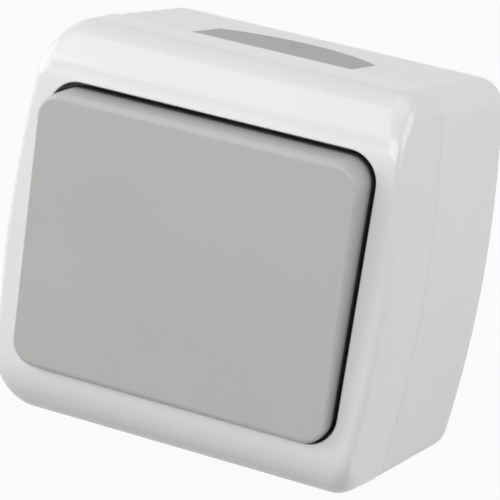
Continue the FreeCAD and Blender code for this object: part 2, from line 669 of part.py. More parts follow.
def bridge_ear(side):
    """Upright ear with the hole that one of the dolly's trunnions turns in."""
    x0, x1 = sorted((side * ear_inner, side * ear_outer))
    eye = cross_rod(x0, x1, PIVOT_DEPTH, 0, EAR_TOP_RADIUS)
    foot = bridge_front - BRIDGE / 2
    outline_points = [Vector(x0, -foot, -EAR_ROOT / 2), Vector(x0, -PIVOT_DEPTH, -EAR_TOP_RADIUS),
                      Vector(x0, -PIVOT_DEPTH, EAR_TOP_RADIUS), Vector(x0, -foot, EAR_ROOT / 2)]
    plate = Part.Face(Part.makePolygon(outline_points + [outline_points[0]]))
    hole = cross_rod(x0 - PAST, x1 + PAST, PIVOT_DEPTH, 0, TRUNNION_RADIUS + RUNNING_CLEARANCE)
    return fuse([plate.extrude(Vector(x1 - x0, 0, 0)), eye]).cut(hole)


def bridge_lugs():
    """Ears of the bridge's plate that lie on the base's middle posts."""
    lugs = []
    for side in (-1, 1):
        lugs.append(rod(side * MECHANISM_SCREW_X, 0, BODY_FRONT_DEPTH, BODY_FRONT_DEPTH + LUG, LUG_RADIUS))
        lugs.append(sided(side, 0, MECHANISM_SCREW_X, BODY_FRONT_DEPTH, BODY_FRONT_DEPTH + LUG,
                          -LUG_RADIUS, LUG_RADIUS))
    return lugs


def mechanism_bridge():
    """Plate that closes the mechanism's body, carries the dolly and is screwed to the base."""
    plate = prism(BODY_WIDTH, BODY_HEIGHT, BODY_RADIUS, BODY_FRONT_DEPTH, bridge_front)
    bridge = fuse([plate] + bridge_lugs() + [bridge_ear(side) for side in (-1, 1)])
    cuts = [box(-BRIDGE_WINDOW_WIDTH / 2, BRIDGE_WINDOW_WIDTH / 2, BODY_FRONT_DEPTH - PAST,
                bridge_front + PAST, -BRIDGE_WINDOW_HEIGHT / 2, BRIDGE_WINDOW_HEIGHT / 2)]
    for x, z in mechanism_screw_places():
        cuts.append(rod(x, z, BODY_FRONT_DEPTH - PAST, BODY_FRONT_DEPTH + LUG + PAST,
                        SCREW_RADIUS + SCREW_CLEARANCE))
    half = SCREW_ACCESS / 2
    for x, z in terminal_places():
        cuts.append(box(x - half, x + half, BODY_FRONT_DEPTH - PAST, bridge_front + PAST, z - half, z + half))
    for x, z in rivet_places():
        cuts.append(rod(x, z, BODY_FRONT_DEPTH - PAST, bridge_front + PAST, RIVET_RADIUS + PILOT_CLEARANCE))
    return bridge.cut(cuts)


def rivet(x, z):
    """Plain rivet, flush with the body's back and the bridge's front."""
    return rod(x, z, BODY_BACK_DEPTH, bridge_front, RIVET_RADIUS)


def contact_lever():
    """V-shaped lever with a bead on its back that rocks in the cradle."""
    slope = math.tan(math.radians(LEVER_TILT))
    half = LEVER_LENGTH / 2
    thick = LEVER_THICKNESS / math.cos(math.radians(LEVER_TILT))
    profile = [(-half, half * slope), (0, 0), (half, half * slope),
               (half, half * slope + thick), (0, thick), (-half, half * slope + thick)]
    points = [Vector(-LEVER_WIDTH / 2, -lever_pivot - rise, z) for z, rise in profile]
    plate = Part.Face(Part.makePolygon(points + [points[0]])).extrude(Vector(LEVER_WIDTH, 0, 0))
    bead = cross_rod(-LEVER_WIDTH / 2, LEVER_WIDTH / 2, lever_pivot, 0, LEVER_BEAD_RADIUS)
    in_front = box(-LEVER_WIDTH, LEVER_WIDTH, lever_pivot + thick / 2, lever_pivot + 2 * thick,
                   -LEVER_BEAD_RADIUS, LEVER_BEAD_RADIUS)
    return tilt_lever(fuse([plate, bead.cut(in_front)]))


def moving_tips():
    """Silver tips on the back of the lever's two arms."""
    upper = tip(TIP_OFFSET, lever_pivot - TIP_THICKNESS)
    upper.rotate(Vector(0, -lever_pivot, 0), Vector(1, 0, 0), LEVER_TILT)
    return Part.makeCompound([tilt_lever(upper), tilt_lever(mirror_z(upper))])


def rocker_frame():
    """Ribs behind the rocker's face, and the two clip legs that grip the dolly's table."""
    half_width = rocker_width / 2 - ROCKER_WALL / 2
    half_height = rocker_height / 2 - ROCKER_WALL / 2
    root = table_front + ROCKER_FACE / 2
    back = table_front - RIB_HEIGHT
    leg = TABLE_WIDTH / 2 + CLIP_CLEARANCE
    rib_x = leg + CLIP_LEG + RIB_SIDE
    rib_z = TABLE_HEIGHT / 2 + RIB_END
    hook_front = table_front - TABLE
    hook_back = hook_front - CLIP_HOOK
    half = CLIP_WIDTH / 2
    pieces = []
    for side in (-1, 1):
        pieces.append(sided(side, rib_x - RIB / 2, rib_x + RIB / 2, back, root, -half_height, half_height))
        pieces.append(sided(side, leg, leg + CLIP_LEG, hook_back, root, -half, half))
        pieces.append(sided(side, leg - CLIP_HOOK, leg + CLIP_LEG, hook_back, hook_front, -half, half))
    for z in (-rib_z, rib_z):
        pieces.append(box(-half_width, half_width, back, root, z - RIB / 2, z + RIB / 2))
    return pieces


def rocker_blank():
    """Block from the skirt's rim to the face, whose ends are rounded more than its sides."""
    sections = [rounded_rectangle(rocker_width, rocker_height, rocker_radius, skirt_rim)]
    for step in range(ROCKER_EDGE_STEPS + 1):
        turn = math.pi / 2 * step / ROCKER_EDGE_STEPS
        depth = rocker_face - ROCKER_END_RADIUS * (1 - math.sin(turn))
        end = ROCKER_END_RADIUS * (1 - math.cos(turn))
        in_side = max(depth - rocker_face + ROCKER_SIDE_RADIUS, 0.0)
        side = ROCKER_SIDE_RADIUS - math.sqrt(max(ROCKER_SIDE_RADIUS ** 2 - in_side ** 2, 0.0))
        sections.append(rounded_rectangle(rocker_width - 2 * side, rocker_height - 2 * end,
                                          rocker_radius - end, depth))
    return loft(sections)


def rocker_plate():
    """Cap that the finger presses, clipped on the dolly."""
    hollow = prism(rocker_width - 2 * ROCKER_WALL, rocker_height - 2 * ROCKER_WALL,
                   rocker_radius - ROCKER_WALL, skirt_rim - PAST, table_front)
    return tilt_rocker(fuse([rocker_blank().cut(hollow)] + rocker_frame()))


def rocker_dolly():
    """Lever under the rocker: table, hub with two trunnions and the arm that guides the plunger."""
    half = DOLLY_WIDTH / 2
    table = box(-TABLE_WIDTH / 2, TABLE_WIDTH / 2, table_front - TABLE, table_front,
                -TABLE_HEIGHT / 2, TABLE_HEIGHT / 2)
    hub = cross_rod(-half, half, PIVOT_DEPTH, 0, HUB_RADIUS)
    neck = box(-half, half, PIVOT_DEPTH, table_front - TABLE / 2, -HUB_RADIUS, HUB_RADIUS)
    trunnions = cross_rod(-ear_outer, ear_outer, PIVOT_DEPTH, 0, TRUNNION_RADIUS)
    arm = rod(0, 0, PIVOT_DEPTH - ARM_REACH, PIVOT_DEPTH, ARM_RADIUS)
    bore = rod(0, 0, PIVOT_DEPTH - ARM_REACH - PAST, PIVOT_DEPTH - BORE_START, BORE_RADIUS)
    return tilt_rocker(fuse([table, hub, neck, trunnions, arm]).cut(bore))


def nose_point(angle):
    """Point of the plunger's round tip, at an angle from its axis."""
    back = PLUNGER_NOSE_RADIUS * (1 - math.cos(angle))
    return Vector(PLUNGER_NOSE_RADIUS * math.sin(angle), PLUNGER_REACH - back, 0)


def plunger():
    """Pin that slides in the arm, tapered to a round tip that presses on the lever."""
    radius = BORE_RADIUS - RUNNING_CLEARANCE
    cap = math.radians(PLUNGER_NOSE_CAP)
    points = [Vector(0, PLUNGER_HEAD, 0), Vector(radius, PLUNGER_HEAD, 0),
              Vector(radius, PLUNGER_SHOULDER, 0), nose_point(cap)]
    edges = [Part.LineSegment(a, b).toShape() for a, b in zip(points, points[1:])]
    edges.append(Part.Arc(nose_point(cap), nose_point(cap / 2), nose_point(0.0)).toShape())
    edges.append(Part.LineSegment(nose_point(0.0), points[0]).toShape())
    pin = Part.Face(Part.Wire(edges)).revolve(Vector(0, 0, 0), Vector(0, 1, 0), 360)
    pin.translate(Vector(0, -PIVOT_DEPTH, 0))
    return tilt_rocker(pin)


def plunger_spring():
    """Compression spring of square wire between the bore's end and the plunger."""
    half = SPRING_WIRE / 2
    coil = BORE_RADIUS - SPRING_CLEARANCE - half
    height = PLUNGER_HEAD - BORE_START - SPRING_WIRE
    helix = Part.Wire(Part.makeHelix(height / SPRING_TURNS, height, coil))
    corners = [Vector(coil + dx * half, 0, dz * half) for dx, dz in ((-1, -1), (1, -1), (1, 1), (-1, 1))]
    spring = helix.makePipeShell([Part.makePolygon(corners + [corners[0]])], True, True)
    spring.rotate(Vector(0, 0, 0), Vector(1, 0, 0), -90)
    spring.translate(Vector(0, BORE_START + half - PIVOT_DEPTH, 0))
    return tilt_rocker(spring)


def build():
    """Every piece by its node's name."""
    seal = cable_seal()
    switched = switched_terminal()
    places = terminal_places()
    return {
        "base_box": base_box(),
        "front_cover": front_cover(),
        "cover_gasket": cover_gasket(),
        "cable_seal_top": seal,
        "cable_seal_bottom": mirror_z(seal),
        "cover_screws": cover_screws(),
        "mechanism_body": mechanism_body(),
        "mechanism_bridge": mechanism_bridge(),
        "mechanism_rivets": Part.makeCompound([rivet(x, z) for x, z in rivet_places()]),
        "mechanism_screws": mechanism_screws(),
        "window_seal": window_seal(),
        "common_terminal": common_terminal(),
        "switched_terminal_upper": switched,
        "switched_terminal_lower": mirror_z(switched),
        "fixed_contact_tips": fixed_tips(),
        "terminal_clamps": Part.makeCompound([terminal_clamp(x, z) for x, z in places]),
        "terminal_screws": Part.makeCompound([terminal_screw(x, z) for x, z in places]),
        "rocker_plate": rocker_plate(),
        "rocker_dolly": rocker_dolly(),
        "plunger": plunger(),
        "plunger_spring": plunger_spring(),
        "contact_lever": contact_lever(),
        "moving_contact_tips": moving_tips(),
    }


os.makedirs("parts", exist_ok=True)
for node, shape in build().items():
    shape.exportStep(os.path.join("parts", node + ".step"))
    print(node, "solids", len(shape.Solids), "volume", round(shape.Volume, 1), "valid", shape.isValid())
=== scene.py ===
import json
import math
import bmesh
import bpy
from mathutils import Matrix, Vector


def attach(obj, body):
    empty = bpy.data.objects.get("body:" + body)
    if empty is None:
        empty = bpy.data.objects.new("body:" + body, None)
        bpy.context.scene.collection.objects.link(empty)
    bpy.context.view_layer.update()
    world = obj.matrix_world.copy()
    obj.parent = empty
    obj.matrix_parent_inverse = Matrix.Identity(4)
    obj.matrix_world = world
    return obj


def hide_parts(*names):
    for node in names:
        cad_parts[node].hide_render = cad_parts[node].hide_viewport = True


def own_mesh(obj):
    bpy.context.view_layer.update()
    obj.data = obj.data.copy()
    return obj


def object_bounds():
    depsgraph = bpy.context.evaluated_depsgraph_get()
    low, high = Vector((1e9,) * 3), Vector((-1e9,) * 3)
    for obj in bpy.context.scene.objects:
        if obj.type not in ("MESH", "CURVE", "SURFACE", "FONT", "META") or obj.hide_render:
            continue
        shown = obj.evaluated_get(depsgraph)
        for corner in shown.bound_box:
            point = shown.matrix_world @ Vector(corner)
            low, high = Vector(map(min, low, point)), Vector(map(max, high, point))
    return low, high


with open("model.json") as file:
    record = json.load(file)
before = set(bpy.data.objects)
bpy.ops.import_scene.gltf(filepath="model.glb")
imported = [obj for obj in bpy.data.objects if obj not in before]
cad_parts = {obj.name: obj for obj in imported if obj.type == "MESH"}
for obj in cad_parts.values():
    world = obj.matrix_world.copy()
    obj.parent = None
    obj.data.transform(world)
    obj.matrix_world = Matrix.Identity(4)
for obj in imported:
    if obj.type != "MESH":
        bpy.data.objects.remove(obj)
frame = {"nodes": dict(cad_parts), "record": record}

# Sizes in millimetres, as in the model. A depth d in front of the wall is the plane y = -d.
MM = 0.001
WALL = 2.2
CUT_PAST = 1.0      # cutters go this far past the faces that they open

# Outside of base and cover
HALF_WIDTH = 38.0
BOW_RADIUS = 227.0
CORNER_RADIUS = 5.2
SEAM_DEPTH = 29.4
SEAM_EDGE = 0.14

# Base box
BASE_HALF = 36.9
BASE_TAPER = 1.05
BASE_DEPTHS = (6.0, 12.0, 18.0, 24.0)
BACK_EDGE = 0.5
FLOOR, FLOOR_CORNER = 2.2, 0.4
TRAY_DEPTHS = (20.0, 10.0)
FIXING_X, FIXING_Z, FIXING_HALF, FIXING_RADIUS = 20.0, 27.0, 3.5, 2.2
PAD_RADIUS, PAD_FRONT = 4.4, 3.2
KNOCKOUT_RADIUS, KNOCKOUT_DEPTH = 10.0, 0.8
MIDDLE_POST_X, BODY_FRONT = 25.0, 33.0
COVER_POST_X, COVER_POST_Z = 26.0, 19.5
POST_HALF, POST_CORNER = 3.3, 0.4
PILOT_RADIUS, PILOT_DEPTH = 1.5, 12.0
WEB_FRONT, WEB_OVERLAP = 25.4, 0.3

# Front cover
COVER_HALF = 37.15
COVER_DRAFT = 0.8
COVER_DEPTHS = (31.5, 34.0, 36.0)
COVER_HOLE = 1.75
FRONT_DEPTH = 47.8
FRONT_RADIUS = 10.8
ROUND_START = FRONT_DEPTH - FRONT_RADIUS
ROUND_END = 82.8    # degrees, where the rows over the round stop short of the flat front
SIDE_EDGE_RADIUS = 1.6
FRONT_SHARES = (0.015, 0.03, 0.05, 0.075, 0.1, 0.14, 0.2, 0.35, 0.5, 0.65, 0.8, 0.9, 0.96, 1.0)
FRONT_BLEND = 0.3   # share by which the rows have come onto the front's own surface
OPENING_X, OPENING_Z, OPENING_RADIUS = 32.55, 26.75, 5.6
OPENING_EDGE = 0.35
WELL_FLOOR_DEPTH, WELL_BACK = 39.5, 37.9
WELL_DEPTHS = (46.5, 44.0, 41.5)
WELL_CORNER, WELL_CORNER_MIDDLE = 0.3, 0.1
WELL_FLOOR_SHARES = (0.1, 0.4, 0.7, 0.95, 1.0)
COLLAR_WALL = 1.8
WINDOW_X, WINDOW_Z, WINDOW_CORNER = 12.3, 9.0, 0.5
GUSSET, GUSSET_PITCH, GUSSET_FRONT, GUSSET_SHORT = 1.2, 22.0, 42.5, 0.6

# Rocker
PIVOT_DEPTH, REST_TILT = 43.8, 4.0
ROCKER_X, ROCKER_Z, ROCKER_RADIUS = 31.7, 26.0, 4.75
ROCKER_FACE, SKIRT_RIM = 52.195, 42.6
ROCKER_END_RADIUS, ROCKER_SIDE_RADIUS = 1.4, 0.5
RIM_EDGE, RIM_EDGE_MIDDLE = 0.25, 0.08
SKIRT_DEPTHS = (45.0, 48.0)
ROCKER_WALL, HOLLOW_DEPTH, TABLE_FRONT = 1.7, 46.0, 50.2
RIB_X, RIB_Z, RIB_WIDTH, RIB_BACK, RIB_INSET = 19.0, 13.0, 1.0, 48.6, 0.9
LEG_X, LEG_WIDTH, LEG_BACK, LEG_HALF = 9.1, 1.4, 48.4, 3.0
HOOK, HOOK_FRONT = 0.5, 48.9
RIB_OVERLAP, RIB_EDGE = 0.5, 0.1

# Plunger spring
SPRING_FRONT, SPRING_LENGTH, SPRING_RADIUS = 45.3, 7.87, 1.65
SPRING_WIRE, SPRING_TURNS, PLUNGER_TRAVEL = 0.4, 3, 0.6

# Cable entries and their seals
ENTRY_HALF, ENTRY_ARCH, ENTRY_BACK = 16.0, 6.5, 9.8
ENTRY_RECESS, ENTRY_REBATE, ENTRY_EDGE = -0.04, 1.2, 0.34
NOTCH_WIDER, NOTCH_ABOVE = 0.6, 0.3
ON_SEAM = 0.001     # points this near to the seam are on it
SEAL_UNDER, SEAL_END = 2.23, 3.23
SEAL_GAP, SEAL_SOFT, SEAL_CHAMFER, SEAL_LEAD = 0.03, 0.28, 0.1, 0.2
MEMBRANE_RIM, MEMBRANE_UNDER = 3.4, 1.2
MARK_X, MARK_DEPTH = -0.5, 16.3
MARK_PROFILE = ((1.7, -0.4), (1.7, 0.06), (1.64, 0.14), (1.45, 0.19), (0.9, 0.19), (0.6, 0.02))

# Gasket and window seal
GASKET_INSET, GASKET_WIDTH, GASKET_FRONT = 1.2, 1.1, 31.0
SEAL_X, SEAL_Z, SEAL_CORNER, SEAL_BACK = 14.9, 11.6, 1.2, 36.4
SEAL_WINDOW_CORNER = 0.4
RING_EDGE = 0.3

# Counts of points and of rows
CORNER_STEPS = 10
END_STEPS = 16
SIDE_STEPS = 16
ROUND_STEPS = 34
ARCH_STEPS = 28
ENTRY_SIDE_STEPS, ENTRY_FRONT_STEPS = 4, 8
ROCKER_STEPS = 14
SPRING_STEPS, WIRE_STEPS = 28, 10
MARK_STEPS = 24
HOLE_STEPS, SLOT_STEPS, KNOCKOUT_STEPS = 24, 32, 64
SHARP_ANGLE = 32.0
MERGE_DISTANCE = 0.0005

# Finishes. Noise scales are per metre, and reliefs and the reach of the painted shade in gaps are
# in metres.
DRIFT_SCALE, DRIFT_DETAIL, DRIFT_RANGE = 45.0, 2.0, (0.35, 0.65)
GRAIN_DETAIL, GRAIN_RANGE, GRAIN_SPREAD = 4.0, (0.3, 0.7), (0.85, 1.15)
# Painted shade: the colour is darkened by ambient occlusion in narrow gaps, such as round the
# rocker, where shade falls
GAP_SHADE_REACH, GAP_SHADE_SAMPLES = 0.0025, 8
GAP_SHADE_OPENNESS, GAP_SHADE_DARKNESS = (0.15, 0.62), (0.06, 1.0)

# Camera fitted to the photograph
AZIMUTH, ELEVATION, ROLL = 23.704, 13.066, 9.052
CAMERA_TARGET, CAMERA_AWAY = (0.547, -23.89, -1.228), 643.807
FOCAL_PIXELS, PICTURE_PIXELS, SENSOR = 3491.272, 500.0, 36.0

# Surroundings and lamps, in metres and watts
SOFT_STRENGTH = 0.06
FLOOR_HALF, FLOOR_DROP = 3.0, 0.0002
FLOOR_GREY, FLOOR_GLOW_SHARE = 0.40, 0.95
LAMP_AIM = (0.0, -0.04, 0.0)
UPRIGHT = (0.0, 0.0, 1.0)


# Materials

def new_node(tree, kind, values=None):
    """Node of a kind, with the values of some inputs."""
    node = tree.nodes.new(kind)
    for name, value in (values or {}).items():
        node.inputs[name].default_value = value
    return node


def empty_tree(owner):
    """Node tree of a material or world, emptied."""
    owner.use_nodes = True
    owner.node_tree.nodes.clear()
    return owner.node_tree


def noise(tree, scale, detail):
    """Noise in the object's own space."""
    place = new_node(tree, "ShaderNodeTexCoord")
    texture = new_node(tree, "ShaderNodeTexNoise", {"Scale": scale, "Detail": detail})
    tree.links.new(place.outputs["Object"], texture.inputs["Vector"])
    return texture.outputs["Fac"]


def tones(tree, source, low, high):
    """Two colours over a noise's middle range."""
    band = new_node(tree, "ShaderNodeValToRGB")
    for element, position, colour in zip(band.color_ramp.elements, DRIFT_RANGE, (low, high)):
        element.position = position
        element.color = colour + (1.0,)
    tree.links.new(source, band.inputs["Fac"])
    return band.outputs["Color"]


def map_range(tree, source, before, after):
    """A number taken from one range to another."""
    mapped = new_node(tree, "ShaderNodeMapRange", {"From Min": before[0], "From Max": before[1],
                                                   "To Min": after[0], "To Max": after[1]})
    tree.links.new(source, mapped.inputs["Value"])
    return mapped.outputs["Result"]


def painted_gap_shade(tree, colour, reach):
    """Colour darkened by painted shade, from ambient occlusion, in gaps narrower than the reach.
    """
    openness = new_node(tree, "ShaderNodeAmbientOcclusion", {"Distance": reach})
    openness.samples = GAP_SHADE_SAMPLES
    shade_share = map_range(tree, openness.outputs["AO"], GAP_SHADE_OPENNESS, GAP_SHADE_DARKNESS)
    shaded = new_node(tree, "ShaderNodeVectorMath")
    shaded.operation = "SCALE"
    tree.links.new(colour, shaded.inputs[0])
    tree.links.new(shade_share, shaded.inputs["Scale"])
    return shaded.outputs["Vector"]


def surface_finish(name, colour, drift, rough, grain, relief, metallic=0.0, gap_shade_reach=0.0):
    """Moulded or metal finish: a broad drift of tone, a fine grain in roughness and relief, and
    painted shade that darkens the colour in gaps where it has a reach."""
    material = bpy.data.materials.new(name)
    tree = empty_tree(material)
    shader = new_node(tree, "ShaderNodeBsdfPrincipled", {"Metallic": metallic})
    output = new_node(tree, "ShaderNodeOutputMaterial")
    tree.links.new(shader.outputs["BSDF"], output.inputs["Surface"])
    low = tuple(max(channel - drift, 0.0) for channel in colour)
    high = tuple(min(channel + drift, 1.0) for channel in colour)
    tone = tones(tree, noise(tree, DRIFT_SCALE, DRIFT_DETAIL), low, high)
    # painted shade: the colour darkens where ambient occlusion finds a narrow gap
    if gap_shade_reach:
        tone = painted_gap_shade(tree, tone, gap_shade_reach)
    tree.links.new(tone, shader.inputs["Base Color"])
    fine = noise(tree, grain, GRAIN_DETAIL)
    roughness = map_range(tree, fine, GRAIN_RANGE, [rough * share for share in GRAIN_SPREAD])
    tree.links.new(roughness, shader.inputs["Roughness"])
    bump = new_node(tree, "ShaderNodeBump", {"Distance": relief})
    tree.links.new(fine, bump.inputs["Height"])
    tree.links.new(bump.outputs["Normal"], shader.inputs["Normal"])
    return material


# Colour, drift of tone, roughness, grain, relief, then metallic share and reach of the painted
# shade in gaps
FINISH_VALUES = {
    # housing and rocker carry the painted shade in their gaps
    "housing_white": ((0.775, 0.775, 0.77), 0.006, 0.12, 900.0, 0.000002, 0.0, GAP_SHADE_REACH),
    "rocker_grey": ((0.468, 0.464, 0.452), 0.006, 0.34, 4200.0, 0.000008, 0.0, GAP_SHADE_REACH),
    "entry_grey": ((0.40, 0.40, 0.395), 0.010, 0.62, 2600.0, 0.00002),
    "seal_grey": ((0.17, 0.17, 0.17), 0.012, 0.80, 1800.0, 0.00004),
    "zinc_steel": ((0.62, 0.63, 0.64), 0.02, 0.32, 2600.0, 0.000004, 1.0),
    "mechanism_cream": ((0.62, 0.59, 0.50), 0.012, 0.5, 1800.0, 0.00001),
    "bridge_white": ((0.66, 0.66, 0.64), 0.010, 0.42, 1800.0, 0.00001),
    "dolly_white": ((0.64, 0.64, 0.62), 0.010, 0.34, 1400.0, 0.000006),
    "contact_brass": ((0.70, 0.52, 0.25), 0.02, 0.28, 2200.0, 0.000004, 1.0),
    "contact_silver": ((0.80, 0.79, 0.76), 0.02, 0.30, 2200.0, 0.000004, 1.0),
    "spring_steel": ((0.50, 0.50, 0.51), 0.02, 0.26, 2200.0, 0.000003, 1.0),
}
FINISHES = {name: surface_finish(name, *values) for name, values in FINISH_VALUES.items()}
BASE_FINISH = surface_finish("base_white", (0.775, 0.775, 0.77), 0.006, 0.32, 1500.0, 0.0000015)

for part in frame["record"]["subparts"]:
    node = frame["nodes"][part["node"]]
    node.data.materials.clear()
    node.data.materials.append(FINISHES[part["material_slot"]])

cad_low, cad_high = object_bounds()


# Loops of points, all with the same count, and meshes from them

def run(start, end, steps):
    """Values after start and before end."""
    return [start + (end - start) * step / steps for step in range(1, steps)]


def quarter_round(radius, turns):
    """What a quarter round leaves off, as the pair radius less sine and radius less cosine, at
    turns in degrees."""
    for turn in turns:
        angle = math.radians(turn)
        yield radius * (1 - math.sin(angle)), radius * (1 - math.cos(angle))


def outline(half_width, half_height, corner, bow=None):
    """Closed loop of (x, z) points with round corners. The sides are straight, or bow outwards."""
    corner_z = half_height - corner
    if bow is None:
        centre = 0.0
        corner_x = half_width - corner
        meet_x, meet_z = half_width, corner_z
    else:
        centre = half_width - bow
        corner_x = centre + math.sqrt((bow - corner) ** 2 - corner_z ** 2)
        meet_x = centre + (corner_x - centre) * bow / (bow - corner)
        meet_z = corner_z * bow / (bow - corner)
    first = math.atan2(meet_z - corner_z, meet_x - corner_x)
    arc = []
    for step in range(CORNER_STEPS + 1):
        angle = first + (math.pi / 2 - first) * step / CORNER_STEPS
        arc.append((corner_x + corner * math.cos(angle), corner_z + corner * math.sin(angle)))
    end = run(corner_x, -corner_x, END_STEPS)
    side = [(half_width if bow is None else centre + math.sqrt(bow ** 2 - z ** 2), z)
            for z in run(meet_z, -meet_z, SIDE_STEPS)]
    points = list(arc)
    points += [(x, half_height) for x in end]
    points += [(-x, z) for x, z in reversed(arc)]
    points += [(-x, z) for x, z in side]
    points += [(-x, -z) for x, z in arc]
    points += [(-x, -half_height) for x in end]
    points += [(x, -z) for x, z in reversed(arc)]
    points += [(x, z) for x, z in reversed(side)]
    return points


def bowed_outline(half_height, inset):
    """The housing's bowed outline, moved inwards all round."""
    return outline(HALF_WIDTH - inset, half_height - inset, CORNER_RADIUS - inset,
                   BOW_RADIUS - inset)


def row(points, depth):
    """Loop at a depth, which may be a function of x and z."""
    if callable(depth):
        return [Vector((x, -depth(x, z), z)) for x, z in points]
    return [Vector((x, -depth, z)) for x, z in points]


def between(first, second, share):
    """Points part of the way from one loop to another."""
    return [(a[0] + (b[0] - a[0]) * share, a[1] + (b[1] - a[1]) * share)
            for a, b in zip(first, second)]


def skin(form, rows, around=False, caps=True):
    """Add quads between rows. The ends are capped, or the last row joins the first."""
    made = [[form.verts.new(point) for point in line] for line in rows]
    count = len(rows[0])
    pairs = list(zip(made, made[1:]))
    if around:
        pairs.append((made[-1], made[0]))
    for low, high in pairs:
        for index in range(count):
            after = (index + 1) % count
            form.faces.new((low[index], low[after], high[after], high[index]))
    if caps and not around:
        form.faces.new(reversed(made[0]))
        form.faces.new(made[-1])


def block(form, x0, x1, depth0, depth1, z0, z1, edge=0.15):
    """Add a block with narrow chamfers round its back and front."""
    half_x, half_z = (x1 - x0) / 2, (z1 - z0) / 2
    rows = []
    for depth, inset in ((depth0, edge), (depth0 + edge, 0.0), (depth1 - edge, 0.0),
                         (depth1, edge)):
        corners = ((1, 1), (-1, 1), (-1, -1), (1, -1))
        rows.append([Vector(((x0 + x1) / 2 + sx * (half_x - inset), -depth,
                             (z0 + z1) / 2 + sz * (half_z - inset))) for sx, sz in corners])
    skin(form, rows)


def bar(form, x, z, depth0, depth1, radius, length=0.0, steps=HOLE_STEPS):
    """Add a round or obround bar, its length along X."""
    points = []
    for step in range(steps):
        angle = 2 * math.pi * (step + 0.5) / steps
        shift = math.copysign(length / 2, math.cos(angle))
        points.append((x + shift + radius * math.cos(angle), z + radius * math.sin(angle)))
    skin(form, [row(points, depth0), row(points, depth1)])


def finished_mesh(name, form, turn=None):
    """Mesh in metres from a form in millimetres, turned if asked, its faces outwards."""
    bmesh.ops.remove_doubles(form, verts=form.verts, dist=MERGE_DISTANCE)
    bmesh.ops.recalc_face_normals(form, faces=form.faces)
    if turn is not None:
        form.transform(turn)
    form.transform(Matrix.Scale(MM, 4))
    mesh = bpy.data.meshes.new(name)
    form.to_mesh(mesh)
    form.free()
    return mesh


def new_object(name, data):
    """Object in the scene."""
    made = bpy.data.objects.new(name, data)
    bpy.context.scene.collection.objects.link(made)
    return made


def shade(piece):
    """Smooth between hard edges."""
    mesh = piece.data
    mesh.polygons.foreach_set("use_smooth", [True] * len(mesh.polygons))
    mesh.set_sharp_from_angle(angle=math.radians(SHARP_ANGLE))
    weighted = piece.modifiers.new("normals", "WEIGHTED_NORMAL")
    weighted.keep_sharp = True


def place(name, mesh, slot, body, *nodes, finish=None):
    """Object that stands for CAD nodes and rides on their body."""
    piece = new_object(name, mesh)
    mesh.materials.append(finish or FINISHES[slot])
    shade(piece)
    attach(piece, body)
    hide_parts(*nodes)
    return piece


def cut(mesh, cutter):
    """Mesh left when the cutter's forms are taken away."""
    whole = new_object("whole", mesh)
    tool = new_object("tool", cutter)
    away = whole.modifiers.new("cut", "BOOLEAN")
    away.operation = "DIFFERENCE"
    away.solver = "EXACT"
    away.use_self = True
    away.object = tool
    bpy.context.view_layer.update()
    evaluated = whole.evaluated_get(bpy.context.evaluated_depsgraph_get())
    result = bpy.data.meshes.new_from_object(evaluated)
    result.name = mesh.name + "_cut"
    for item in (whole, tool):
        bpy.data.objects.remove(item)
    return result


# Front cover

def cover_half(depth):
    """Half height of the cover, which narrows forwards by its draft."""
    return COVER_HALF - (depth - SEAM_DEPTH) * math.tan(math.radians(COVER_DRAFT))


def front_round(z):
    """Depth of the front where it rounds towards the top and bottom."""
    flat = cover_half(ROUND_START) - FRONT_RADIUS
    over = min(max(abs(z) - flat, 0.0), FRONT_RADIUS)
    return ROUND_START + math.sqrt(FRONT_RADIUS ** 2 - over ** 2)


def side_round(x, z):
    """Depth of the front where it rounds into the bowed sides."""
    reach = HALF_WIDTH - BOW_RADIUS + math.sqrt(BOW_RADIUS ** 2 - z ** 2) - abs(x)
    over = SIDE_EDGE_RADIUS - min(max(reach, 0.0), SIDE_EDGE_RADIUS)
    return FRONT_DEPTH - SIDE_EDGE_RADIUS + math.sqrt(SIDE_EDGE_RADIUS ** 2 - over ** 2)


def front_face(x, z):
    """Depth of the front."""
    return min(front_round(z), side_round(x, z))


def opening(offset):
    """The opening's outline, moved outwards all round."""
    return outline(OPENING_X + offset, OPENING_Z + offset, OPENING_RADIUS + offset)


def cover_outside():
    """Rows from the seam over the round to the opening's edge."""
    rows = []
    for inset, rise in quarter_round(SEAM_EDGE, (0.0, 45.0, 90.0)):
        points = outline(HALF_WIDTH - inset, COVER_HALF - inset, CORNER_RADIUS - inset, BOW_RADIUS)
        rows.append(row(points, SEAM_DEPTH + rise))
    for depth in COVER_DEPTHS:
        points = outline(HALF_WIDTH, cover_half(depth), CORNER_RADIUS, BOW_RADIUS)
        rows.append(row(points, depth))
    last = math.radians(ROUND_END)
    for step in range(ROUND_STEPS + 1):
        turn = last * step / ROUND_STEPS
        depth = ROUND_START + FRONT_RADIUS * math.sin(turn)
        over = max(depth - FRONT_DEPTH + SIDE_EDGE_RADIUS, 0.0)
        inset = SIDE_EDGE_RADIUS - math.sqrt(SIDE_EDGE_RADIUS ** 2 - over ** 2)
        drop = 1 - math.cos(turn)
        points = outline(HALF_WIDTH - inset, cover_half(ROUND_START) - FRONT_RADIUS * drop,
                         CORNER_RADIUS - (CORNER_RADIUS - SIDE_EDGE_RADIUS) * drop, BOW_RADIUS)
        rows.append(row(points, depth))
    edge = opening(OPENING_EDGE)
    for share in FRONT_SHARES:
        blend = min(share / FRONT_BLEND, 1.0)

        def front(x, z):
            return depth + (front_face(x, z) - depth) * blend
        rows.append(row(between(points, edge, share), front))
    return rows


